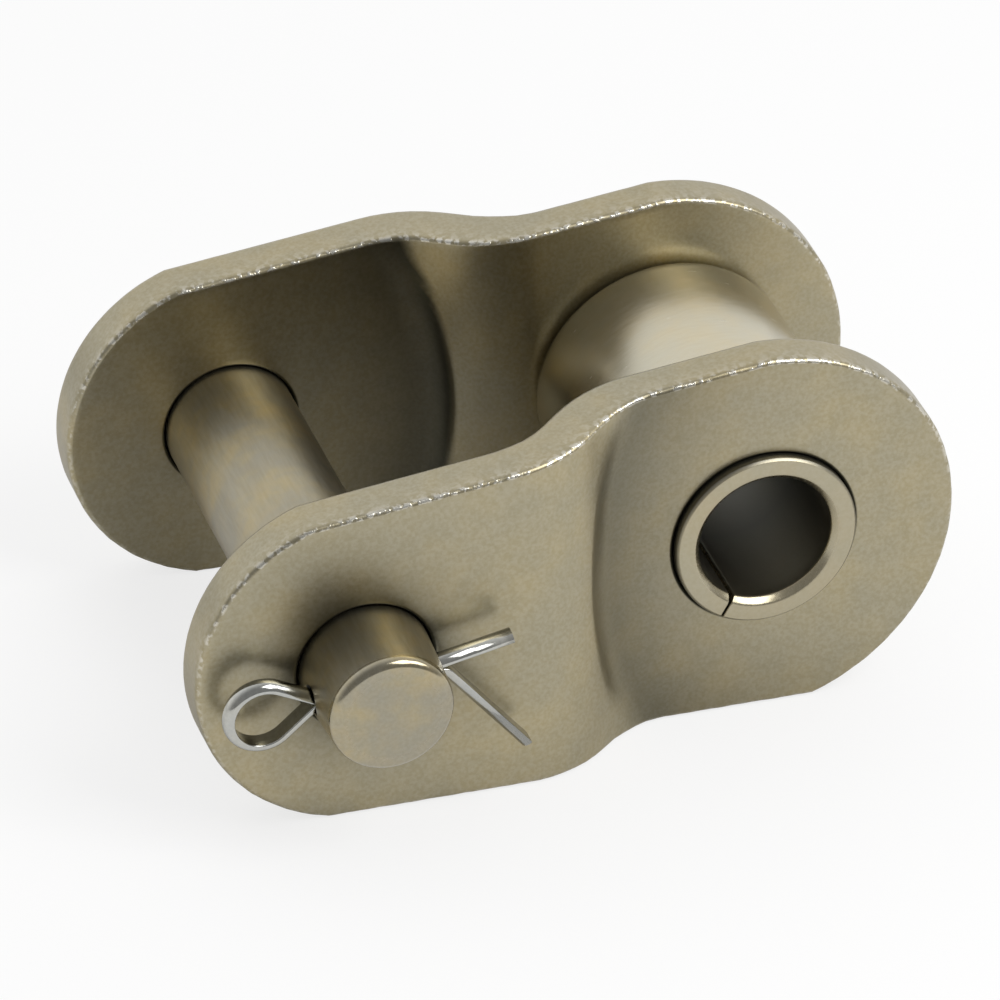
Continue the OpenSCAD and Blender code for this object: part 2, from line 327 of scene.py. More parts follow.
class Draft:
    """Mesh under construction, in millimetres, with an edge mask (smoother edges and painted glints) and a
    shade mask (painted shade) on its points.
    """

    WELD_MM = 0.0005
    SLIVER_MM = 0.00005

    def __init__(self) -> None:
        """Start empty."""
        self.points: list[np.ndarray] = []
        self.edge: list[np.ndarray] = []
        self.shade: list[np.ndarray] = []
        self.faces: list[tuple[int, ...]] = []
        self.count = 0

    def _store(self, points: np.ndarray, edge: Any, shade: Any) -> int:
        """Keep points and their masks.

        Args:
            points: the points, in any number of rows.
            edge: edge mask, one number or one for each point.
            shade: shade mask, likewise.

        Returns:
            The number of the first point.
        """
        first = self.count
        flat = points.reshape(-1, 3)
        self.points.append(flat)
        for store, mask in ((self.edge, edge), (self.shade, shade)):
            store.append(np.broadcast_to(mask, points.shape[:-1]).reshape(-1))
        self.count += len(flat)
        return first

    def sheet(
        self,
        points: np.ndarray,
        edge: Any = 0.0,
        shade: Any = 0.0,
        loop_rows: bool = False,
        loop_columns: bool = False,
        skip: Optional[np.ndarray] = None,
    ) -> None:
        """Add a grid of four-sided faces.

        Args:
            points: rows by columns by three.
            edge: edge mask, one number or rows by columns.
            shade: shade mask, likewise.
            loop_rows: whether the last row joins the first.
            loop_columns: whether the last column joins the first.
            skip: cells to leave open, rows by columns.
        """
        rows, columns = points.shape[:2]
        first = self._store(points, edge, shade)
        for i in range(rows if loop_rows else rows - 1):
            for j in range(columns if loop_columns else columns - 1):
                if skip is not None and skip[i, j]:
                    continue
                i2, j2 = (i + 1) % rows, (j + 1) % columns
                corners = ((i, j), (i, j2), (i2, j2), (i2, j))
                self.faces.append(tuple(first + r * columns + c for r, c in corners))

    def cap(self, loop: np.ndarray, shade: float = 0.0) -> None:
        """Close a loop of points with one face."""
        first = self._store(loop, 0.0, shade)
        self.faces.append(tuple(range(first, first + len(loop))))

    def build(self, name: str) -> bpy.types.Object:
        """Make the object.

        Args:
            name: name of the piece.

        Returns:
            The welded, smooth-shaded object with its masks.
        """
        mesh = bpy.data.meshes.new(name)
        work = bmesh.new()
        masks = {"edge": np.concatenate(self.edge), "shade": np.concatenate(self.shade)}
        layers = {key: work.verts.layers.float.new(key) for key in masks}
        verts = [work.verts.new(p) for p in (np.concatenate(self.points) * MM).tolist()]
        for key, values in masks.items():
            for vert, value in zip(verts, values.tolist()):
                vert[layers[key]] = value
        for corners in self.faces:
            work.faces.new([verts[i] for i in corners])
        bmesh.ops.remove_doubles(work, verts=work.verts[:], dist=self.WELD_MM * MM)
        bmesh.ops.dissolve_degenerate(work, edges=work.edges[:], dist=self.SLIVER_MM * MM)
        bmesh.ops.recalc_face_normals(work, faces=work.faces[:])
        for face in work.faces:
            face.smooth = True
        work.to_mesh(mesh)
        work.free()
        piece = bpy.data.objects.new(name, mesh)
        bpy.context.scene.collection.objects.link(piece)
        return piece


@dataclass(frozen=True)
class Corner:
    """Corner of a profile, with the radius that rounds it."""

    a: float
    b: float
    r: float = 0.0


def unit(v: np.ndarray) -> np.ndarray:
    """The vector at length one."""
    return v / np.linalg.norm(v)


def ease(value: np.ndarray, low: float, high: float) -> np.ndarray:
    """Smooth step that is 0 below low and 1 above high."""
    share = np.clip((value - low) / (high - low), 0, 1)
    return share**2 * (3 - 2 * share)


def rounded_path(corners: Sequence[Corner], closed: bool, steps: int = 6) -> np.ndarray:
    """Run through corners and round each one by its radius.

    Args:
        corners: the corners in order.
        closed: whether the last corner joins the first.
        steps: steps of each rounding.

    Returns:
        The points of the path, two numbers each.
    """
    spots = [np.array((c.a, c.b)) for c in corners]
    path: list[np.ndarray] = []
    for i, (corner, here) in enumerate(zip(corners, spots)):
        if corner.r == 0 or (not closed and i in (0, len(corners) - 1)):
            path.append(here)
            continue
        into = unit(here - spots[i - 1])
        out = unit(spots[(i + 1) % len(spots)] - here)
        turn = math.acos(float(np.clip(into @ out, -1, 1)))
        reach = corner.r * math.tan(turn / 2)
        centre = here + unit(out - into) * corner.r / math.cos(turn / 2)
        start, end = here - into * reach - centre, here + out * reach - centre
        for t in np.linspace(0, 1, steps + 1):
            arm = start * math.sin((1 - t) * turn) + end * math.sin(t * turn)
            path.append(centre + arm / math.sin(turn))
    return np.array(path)


def revolve(profile: np.ndarray, angles: np.ndarray, axis_x: float = 0.0) -> np.ndarray:
    """Turn a profile of radius and y about an axis along Y.

    Args:
        profile: points of the profile.
        angles: angles of the turn.
        axis_x: place of the axis.

    Returns:
        Points, profile by angles by three.
    """
    radius, y = profile[:, :1], profile[:, 1:]
    along = np.broadcast_to(y, (len(profile), len(angles)))
    return np.stack((axis_x + radius * np.cos(angles), along, radius * np.sin(angles)), axis=-1)


@dataclass
class LinkSizes:
    """Sizes of the link, in millimetres and degrees; the first group is read from the frame."""

    pitch: float
    narrow_in: float
    wide_out: float
    pin_tip_x: float
    bushing_tip_x: float
    bore_r: float
    bushing_r: float
    bushing_half: float
    roller_r: float
    roller_half: float
    pin_front_y: float
    pin_back_y: float
    head_r: float
    plate_t: float = 3.2
    bushing_end_h: float = 23.5
    pin_end_h: float = 20.2
    bushing_corner: float = 2.8
    pin_corner: float = 2.7
    upper_round: float = 0.05
    pin_fit: float = 0.05
    seat_fit: float = 0.02
    roller_fit: float = 0.08

    @classmethod
    def from_frame(cls) -> "LinkSizes":
        """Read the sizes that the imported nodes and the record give.

        Returns:
            The sizes of the link.
        """
        low, high = {}, {}
        for name in frame["nodes"]:
            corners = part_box(name)
            low[name], high[name] = corners[0] / MM, corners[1] / MM
        pin = "connecting_pin"
        plate = "rear_offset_plate"
        return cls(
            pitch=-(low[pin].x + high[pin].x) / 2,
            narrow_in=low[plate].y,
            wide_out=high[plate].y,
            pin_tip_x=low[plate].x,
            bushing_tip_x=high[plate].x,
            bore_r=frame["record"]["mounts"][0]["dims"]["r_mm"],
            bushing_r=high["bushing"].x,
            bushing_half=high["bushing"].y,
            roller_r=high["roller"].x,
            roller_half=high["roller"].y,
            pin_front_y=low[pin].y,
            pin_back_y=high[pin].y,
            head_r=(high[pin].x - low[pin].x) / 2,
        )

    @property
    def pin_r(self) -> float:
        """Radius of the pin."""
        return self.bore_r - self.pin_fit

    @property
    def taper(self) -> float:
        """Rise of a plate's tapered side for each millimetre along the pitch."""
        return (self.bushing_end_h - self.pin_end_h) / 2 / self.pitch

    @property
    def stretch(self) -> float:
        """How much longer a length square to the tapered side is when it is taken along Z."""
        return math.hypot(1, self.taper)

    def half_height(self, x: Any) -> Any:
        """Half height of a plate's tapered sides at x."""
        return self.pin_end_h / 2 + self.taper * (x + self.pitch)


class Side(Enum):
    """Side of the link that a plate is on, as the sign of its y."""

    FRONT = -1
    REAR = 1


class Face(Enum):
    """Face of a plate, as the way from it into the metal."""

    OUTER = -1
    INNER = 1


class SubAssembly:
    """Group of pieces that are built together."""

    def dress(self, piece: bpy.types.Object, node: str, body: str, slot: str, finish: SteelFinish) -> None:
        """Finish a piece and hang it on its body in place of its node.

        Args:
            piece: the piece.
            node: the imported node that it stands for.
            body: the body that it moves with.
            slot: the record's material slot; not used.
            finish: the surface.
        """
        material = bpy.data.materials.get(finish.name) or finish.material()
        piece.data.materials.append(material)
        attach(piece, body)
        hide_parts(node)
        LOG.info("%s: %d faces, on %s", piece.name, len(piece.data.polygons), body)


Run = tuple[np.ndarray, np.ndarray]


@dataclass
class OffsetPlate(SubAssembly):
    """Cranked side plate: two flats, a double bend between them, and a curved relief on each face."""

    sizes: LinkSizes
    side: Side
    crank_angle: float = 40.0
    bend_r: float = 4.5
    crank_shift: float = 1.1
    relief_web: float = 1.0
    relief_r: float = 28.0
    relief_corner_r: float = 2.4
    relief_skim: float = 0.05
    relief_wall_slope: float = 6.0
    outer_crease_soft: float = 1.7
    inner_crease_soft: float = 0.4
    # Painted shade in each relief, deepest along its wall, and a painted shadow round the pin's seat.
    outer_painted_shade: float = 0.48
    outer_painted_shade_mm: float = 5.6
    outer_shade_tail: float = 0.13
    outer_shade_tail_mm: float = 12.0
    outer_painted_shade_start: Range = (-0.6, 1.8)
    inner_painted_shade: float = 0.95
    inner_painted_shade_mm: float = 4.5
    inner_painted_shade_start: Range = (-0.2, 0.3)
    seat_painted_shade: float = 0.70
    seat_painted_shade_mm: float = 1.8
    # Painted shade on the rim walls.
    rim_shade: float = 0.11
    burr_r: float = 0.32
    roll_r: float = 0.60
    hole_edge: float = 0.25
    # Shade rows of a hole's lip: a painted shadow of the gap round the pin or bushing.
    lip_shade: tuple[float, ...] = (0.0, 0.85, 0.95, 1.0, 1.0)
    # Edge mask rows of the rim: painted glints along the sharp edge and faint glint specks on the wall;
    # side_glint keeps a share of them on edges that face sideways or down.
    burr_glint: tuple[float, ...] = (0.0, 0.4, 0.9, 1.0, 0.7, 0.35, 0.18)
    wall_glint: tuple[float, ...] = (0.10, 0.07, 0.05, 0.03, 0.02, 0.02, 0.02)
    shear_wave: float = 0.030
    shear_wave_mm: float = 0.7
    shear_level: float = 0.6
    shear_base: float = 0.3
    shear_gain: float = 2.0
    side_glint: float = 0.25
    pin_split: float = 8.4
    bushing_split: float = 6.3
    rows: int = 48
    columns: int = 12
    edge_step: float = 0.22
    ring_steps: int = 18
    crease_margin: float = 1.2
    crease_margin_share: float = 0.7
    crease_halvings: int = 40

    def __post_init__(self) -> None:
        """Work out the crank's places from the driving sizes."""
        s = self.sizes
        self.narrow_out = s.narrow_in + s.plate_t
        self.wide_in = s.wide_out - s.plate_t
        angle = math.radians(self.crank_angle)
        mid_r = self.bend_r + s.plate_t / 2
        offset = self.wide_in - s.narrow_in
        slope = (offset - 2 * mid_r * (1 - math.cos(angle))) / math.sin(angle)
        length = 2 * mid_r * math.sin(angle) + slope * math.cos(angle)
        self.middle = self.crank_shift - s.pitch / 2
        self.wide_end_x = self.middle - length / 2
        self.narrow_start_x = self.middle + length / 2
        self.left_x = -s.pitch + self.pin_split
        self.right_x = -self.bushing_split

    def edge_r(self, face: Face) -> float:
        """Radius of a face's edge: sharp where the shears left it, rolled on the other face."""
        return self.burr_r if self.is_burred(face) else self.roll_r

    def is_burred(self, face: Face) -> bool:
        """Whether a face is the one that the shears came out of."""
        return (face is Face.OUTER) == (self.side is Side.FRONT)

    def bent_y(self, x: np.ndarray, depth: float) -> np.ndarray:
        """Height of a layer of the bent plate before the reliefs.

        Args:
            x: places along the pitch.
            depth: the layer's depth below the outer face.

        Returns:
            The layer's y at each place.
        """
        angle = math.radians(self.crank_angle)
        wide_r = self.bend_r + self.sizes.plate_t - depth
        narrow_r = self.bend_r + depth
        from_wide = np.clip(x - self.wide_end_x, 0, wide_r * math.sin(angle))
        from_narrow = np.clip(self.narrow_start_x - x, 0, narrow_r * math.sin(angle))
        x1 = self.wide_end_x + wide_r * math.sin(angle)
        x2 = self.narrow_start_x - narrow_r * math.sin(angle)
        wide_y = self.wide_in - self.bend_r + np.sqrt(wide_r**2 - from_wide**2)
        narrow_y = self.narrow_out + self.bend_r - np.sqrt(narrow_r**2 - from_narrow**2)
        slope_y = wide_y - np.clip(x - x1, 0, None) * math.tan(angle)
        return np.where(x < x2, slope_y, narrow_y)

    def past_wall(self, face: Face, x: np.ndarray, z: np.ndarray) -> np.ndarray:
        """How far a place is past the round wall of a face's relief."""
        disc_x = self.middle - face.value * (self.relief_web / 2 + self.relief_r)
        return np.hypot(x - disc_x, z) - self.relief_r

    def layers(self, face: Face, x: np.ndarray, z: np.ndarray) -> tuple[np.ndarray, np.ndarray]:
        """The bent face and the floor of its relief, both as heights out of the metal.

        Args:
            face: the face.
            x: places along the pitch.
            z: places across the plate.

        Returns:
            Two heights; the lower one is the surface.
        """
        way = face.value
        past = self.past_wall(face, x, z)
        corner = self.relief_corner_r
        along = np.clip(past + corner, 0, corner)
        climb = corner - np.sqrt(corner**2 - along**2) + self.relief_wall_slope * np.clip(past, 0, None)
        outer = face is Face.OUTER
        flat = self.narrow_out if outer else self.wide_in
        bent = self.bent_y(x, 0.0 if outer else self.sizes.plate_t)
        return -way * bent, -way * flat - self.relief_skim + climb

    def face_y(self, face: Face, x: np.ndarray, z: np.ndarray) -> np.ndarray:
        """Height of a face, with its relief blended in.

        Args:
            face: the face.
            x: places along the pitch.
            z: places across the plate.

        Returns:
            The face's y at each place.
        """
        bent, floor = self.layers(face, x, z)
        soft = self.outer_crease_soft if face is Face.OUTER else self.inner_crease_soft
        share = np.clip(0.5 + 0.5 * (bent - floor) / soft, 0, 1)
        lower = bent + (floor - bent) * share - soft * share * (1 - share)
        return -face.value * lower

    def painted_shade(self, face: Face, x: np.ndarray, z: np.ndarray) -> np.ndarray:
        """Painted shade in a relief, deepest along its wall, and a painted shadow round the pin's seat.

        Args:
            face: the face.
            x: places along the pitch.
            z: places across the plate.

        Returns:
            The shade mask at each place.
        """
        past = -self.past_wall(face, x, z)
        depth = np.clip(past, 0, None)
        if face is Face.INNER:
            # Inner face: painted shade, darkest at the relief's wall.
            shade_level = self.inner_painted_shade * np.exp(-depth / self.inner_painted_shade_mm)
            return shade_level * ease(past, *self.inner_painted_shade_start)
        # Outer face: painted shade along the relief's wall with a long faint tail, and a painted shadow round
        # the pin's seat.
        shade_level = self.outer_painted_shade * np.exp(-((depth / self.outer_painted_shade_mm) ** 2))
        shade_tail = self.outer_shade_tail * np.exp(-depth / self.outer_shade_tail_mm)
        from_seat = np.hypot(x + self.sizes.pitch, z) - self.sizes.bore_r
        seat_shade = self.seat_painted_shade * np.exp(-np.clip(from_seat, 0, None) / self.seat_painted_shade_mm)
        return np.maximum((shade_level + shade_tail) * ease(past, *self.outer_painted_shade_start), seat_shade)

    def crease(self, face: Face, v: np.ndarray) -> np.ndarray:
        """Line where a relief's wall meets the slope.

        Args:
            face: the relief's face.
            v: rows as shares of the half height.

        Returns:
            The line's x on each row.
        """
        relieved = np.full_like(v, self.right_x if face is Face.OUTER else self.left_x)
        bent = np.full_like(v, self.middle)
        for _ in range(self.crease_halvings):
            x = (relieved + bent) / 2
            slope, floor = self.layers(face, x, v * (self.sizes.half_height(x) - self.burr_r))
            cut = floor < slope
            relieved, bent = np.where(cut, x, relieved), np.where(cut, bent, x)
        return (relieved + bent) / 2

    def crank_grid(self) -> tuple[np.ndarray, np.ndarray]:
        """Places of the crank's grid, whose columns follow both creases.

        Returns:
            The x of each point, rows by columns, and the rows as shares of the half height.
        """
        v = np.linspace(-1, 1, self.rows + 1)
        inner, outer = self.crease(Face.INNER, v), self.crease(Face.OUTER, v)
        ends = np.full_like(v, self.left_x), np.full_like(v, self.right_x)
        near = np.minimum(self.crease_margin, self.crease_margin_share * (inner - ends[0]))
        far = np.minimum(self.crease_margin, self.crease_margin_share * (ends[1] - outer))
        marks = [ends[0], inner - near, inner, outer, outer + far, ends[1]]
        columns = [marks[0]]
        for a, b in zip(marks, marks[1:]):
            columns += [a + (b - a) * k / self.columns for k in range(1, self.columns + 1)]
        return np.stack(columns, axis=1), v[:, None]

    def side_run(self, x: np.ndarray, sign: int) -> Run:
        """Part of a straight side: its points, and the way in from each for one millimetre of edge radius."""
        points = np.stack((x, sign * self.sizes.half_height(x)), axis=1)
        return points, np.tile((0.0, -sign * self.sizes.stretch), (len(x), 1))

    def straight(self, start: float, end: float, sign: int) -> Run:
        """Straight side between two places."""
        count = math.ceil(abs(end - start) / self.edge_step)
        return self.side_run(np.linspace(start, end, count + 1), sign)

    def arc(self, centre_x: float, start: np.ndarray, end: np.ndarray) -> Run:
        """Anticlockwise arc about a place on the pitch line.

        Args:
            centre_x: that place.
            start: the first point.
            end: the last point.

        Returns:
            The points and the way in from each.
        """
        arms = [point - (centre_x, 0.0) for point in (start, end)]
        angles = [math.atan2(arm[1], arm[0]) for arm in arms]
        sweep = (angles[1] - angles[0]) % (2 * math.pi)
        r = float(np.linalg.norm(arms[0]))
        turn = angles[0] + np.linspace(0, sweep, math.ceil(sweep * r / self.edge_step) + 1)
        arm = np.stack((np.cos(turn), np.sin(turn)), axis=1)
        return arm * r + (centre_x, 0.0), -arm

    @staticmethod
    def join(runs: Sequence[Run]) -> Run:
        """Chain runs that share their end points.

        Args:
            runs: the runs in order.

        Returns:
            The points and the way in from each, which is the mean where two runs meet.
        """
        points, way_in = [runs[0][0]], [runs[0][1].copy()]
        for run_points, run_in in runs[1:]:
            way_in[-1][-1] = (way_in[-1][-1] + run_in[0]) / 2
            points.append(run_points[1:])
            way_in.append(run_in[1:].copy())
        return np.concatenate(points), np.concatenate(way_in)

    def pin_end(self) -> Run:
        """Outline of the pin end, anticlockwise from the upper split point to the lower one.

        Returns:
            The points and the way in from each.
        """
        s = self.sizes
        corner_x = -s.pitch - s.pin_corner
        corner = np.array((corner_x, s.half_height(corner_x)))
        rise = corner_x - s.pin_tip_x
        r = (corner[1] ** 2 + rise**2) / (2 * rise)
        end_arc = self.arc(s.pin_tip_x + r, corner, corner * (1, -1))
        upper = self.straight(self.left_x, corner_x, 1)
        return self.join((upper, end_arc, self.straight(corner_x, self.left_x, -1)))

    def bushing_end(self) -> Run:
        """Outline of the bushing end, anticlockwise from the lower split point to the upper one.

        Returns:
            The points and the way in from each; the lower corner is sharp and the upper one rounded.
        """
        s = self.sizes
        corner = np.array((s.bushing_corner, -s.half_height(s.bushing_corner)))
        rise = s.bushing_tip_x - corner[0]
        r = (corner[1] ** 2 + rise**2) / (2 * rise)
        arc_x = s.bushing_tip_x - r
        round_tip = s.bushing_tip_x + s.upper_round
        round_x = (round_tip - s.half_height(0) - s.upper_round) / (1 + s.taper)
        round_r = round_tip - round_x
        meet_x = (arc_x**2 - round_x**2 - r**2 + round_r**2) / (2 * (arc_x - round_x))
        meet = np.array((meet_x, math.sqrt(r**2 - (meet_x - arc_x) ** 2)))
        near = s.half_height(round_x) / s.stretch
        upper_x = round_x + (math.sqrt(round_r**2 - near**2) - near * s.taper) / s.stretch
        upper = np.array((upper_x, s.half_height(upper_x)))
        return self.join((
            self.straight(self.right_x, corner[0], -1),
            self.arc(arc_x, corner, meet),
            self.arc(round_x, meet, upper),
            self.straight(upper_x, self.right_x, 1),
        ))

    def slope_factor(self, x: np.ndarray) -> np.ndarray:
        """How much longer the plate's thickness is along Y on the crank's slope.

        Args:
            x: places along the pitch.

        Returns:
            The factor at each place, 1 on the flats.
        """
        step = 0.01
        depth = self.sizes.plate_t / 2
        rise = self.bent_y(x + step, depth) - self.bent_y(x - step, depth)
        return np.hypot(1, rise / (2 * step))

    def place(self, x: np.ndarray, y: np.ndarray, z: np.ndarray) -> np.ndarray:
        """Points on this plate's side of the link."""
        return np.stack((x, y * self.side.value, z), axis=-1)

    def add_end(self, draft: Draft, rings: dict[Face, np.ndarray], centre_x: float, hole_r: float) -> None:
        """Add both faces of a plate's end and the wall of its hole.

        Args:
            draft: the mesh under construction.
            rings: outer ring of the end on each face, x and z of each point.
            centre_x: the hole's place.
            hole_r: the hole's radius.
        """
        centre = np.array((centre_x, 0.0))
        steps = np.linspace(0, 1, self.ring_steps + 1)[:, None, None]
        wall, shades = [], []
        for face, ring in rings.items():
            arm = ring - centre
            arm = arm / np.linalg.norm(arm, axis=1, keepdims=True)
            mouth = centre + arm * (hole_r + self.hole_edge)
            grid = mouth + (ring - mouth) * steps
            x, z = grid[..., 0], grid[..., 1]
            points = self.place(x, self.face_y(face, x, z), z)
            # The end's faces carry their painted shade.
            draft.sheet(points, shade=self.painted_shade(face, x, z), loop_columns=True)
            # The lip is painted dark from the face's own shade down into the gap, as the gap's shadow.
            level = self.face_y(face, mouth[:, 0], mouth[:, 1])
            shade_level = self.painted_shade(face, mouth[:, 0], mouth[:, 1])
            tones = [shade_level + (1 - shade_level) * share for share in self.lip_shade]
            lip = []
            for t in np.linspace(0, math.pi / 2, len(self.lip_shade)):
                at = centre + arm * (hole_r + self.hole_edge * (1 - math.sin(t)))
                y = level + face.value * self.hole_edge * (1 - math.cos(t))
                lip.append(self.place(at[:, 0], y, at[:, 1]))
            wall += lip if face is Face.OUTER else lip[::-1]
            shades += tones if face is Face.OUTER else tones[::-1]
        draft.sheet(np.stack(wall), shade=np.stack(shades), loop_columns=True)

    def edge_rings(self, face: Face, outline: np.ndarray, way_in: np.ndarray) -> list[np.ndarray]:
        """Rings of one rounded edge.

        Args:
            face: the face that the edge belongs to.
            outline: closed outline of the plate.
            way_in: the way in from each point of the outline.

        Returns:
            The rings from the face to the wall.
        """
        r = self.edge_r(face)
        lean = self.slope_factor(outline[:, 0])
        found = []
        for t in np.linspace(0, math.pi / 2, len(self.burr_glint)):
            at = outline + way_in * r * (1 - math.sin(t))
            y = self.face_y(face, at[:, 0], at[:, 1]) + face.value * r * (1 - math.cos(t)) * lean
            found.append(np.stack((at[:, 0], y, at[:, 1]), axis=-1))
        return found

    def add_rim(self, draft: Draft, outline: np.ndarray, way_in: np.ndarray) -> None:
        """Add the sheared rim with its two edges.

        Args:
            draft: the mesh under construction.
            outline: closed outline of the plate.
            way_in: the way in from each point of the outline.
        """
        upper = self.edge_rings(Face.OUTER, outline, way_in)
        lower = self.edge_rings(Face.INNER, outline, way_in)[::-1]
        steps = np.linspace(0, 1, len(self.wall_glint) + 2)[1:-1]
        walls = [upper[-1] + (lower[0] - upper[-1]) * t for t in steps]
        rings = np.stack(upper + walls + lower)
        out = -way_in / np.linalg.norm(way_in, axis=1, keepdims=True)
        # Painted glints: bright specks along the sharp edge, weaker on the rim wall.
        edges = np.array(self.burr_glint + self.wall_glint + (0.0,) * len(lower))
        if self.is_burred(Face.INNER):
            edges = edges[::-1]
        # The glints are painted strongest on edges that face up, where the light falls.
        edge = edges[:, None] * (self.side_glint + (1 - self.side_glint) * np.clip(out[:, 1], 0, 1))
        rough = np.array([[noise.noise(Vector(p) / self.shear_wave_mm) for p in row] for row in rings])
        share = np.minimum(1, edges * self.shear_gain + self.shear_base)[:, None]
        wave = self.shear_wave * (rough - self.shear_level).clip(-1, 0) * share
        wave[0] = wave[-1] = 0
        rings[..., 0] += wave * out[:, 0]
        rings[..., 2] += wave * out[:, 1]
        # Painted shade: the rim walls are darkened a little, and each face's painted shade runs out over its
        # edge.
        fade = np.linspace(1, 0, len(upper))[:, None]
        shade_levels = [self.painted_shade(face, ring[:, 0], ring[:, 2]) for face, ring in zip(Face, (upper[0], lower[-1]))]
        middle = np.full((len(walls), len(outline)), self.rim_shade)
        ends = [self.rim_shade + (shade_level - self.rim_shade) * fade for shade_level in shade_levels]
        shade = np.concatenate((ends[0], middle, ends[1][::-1]))
        points = self.place(rings[..., 0], rings[..., 1], rings[..., 2])
        draft.sheet(points, edge=edge, shade=shade, loop_columns=True)

    def build(self, name: str, node: str) -> None:
        """Build and dress the plate.

        Args:
            name: name of the piece.
            node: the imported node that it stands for.
        """
        s = self.sizes
        draft = Draft()
        x, v = self.crank_grid()
        pin_line, pin_in = self.pin_end()
        bush_line, bush_in = self.bushing_end()
        pin_rings, bush_rings = {}, {}
        for face in Face:
            r = self.edge_r(face)
            z = v * (s.half_height(x) - r * s.stretch)
            # The faces carry the painted shade of the reliefs and of the pin's seat.
            draft.sheet(self.place(x, self.face_y(face, x, z), z), shade=self.painted_shade(face, x, z))
            left = np.stack((x[:, 0], z[:, 0]), axis=1)
            right = np.stack((x[:, -1], z[:, -1]), axis=1)
            pin_rings[face] = np.concatenate((pin_line + pin_in * r, left[1:-1]))
            bush_rings[face] = np.concatenate((bush_line + bush_in * r, right[-2:0:-1]))
        self.add_end(draft, pin_rings, -s.pitch, s.bore_r)
        self.add_end(draft, bush_rings, 0.0, s.bushing_r + s.seat_fit)
        bottom, bottom_in = self.side_run(x[0, 1:-1], -1)
        top, top_in = self.side_run(x[-1, -2:0:-1], 1)
        outline = np.concatenate((pin_line, bottom, bush_line, top))
        self.add_rim(draft, outline, np.concatenate((pin_in, bottom_in, bush_in, top_in)))
        self.dress(draft.build(name), node, "link", "plate_steel", PLATE_STEEL)


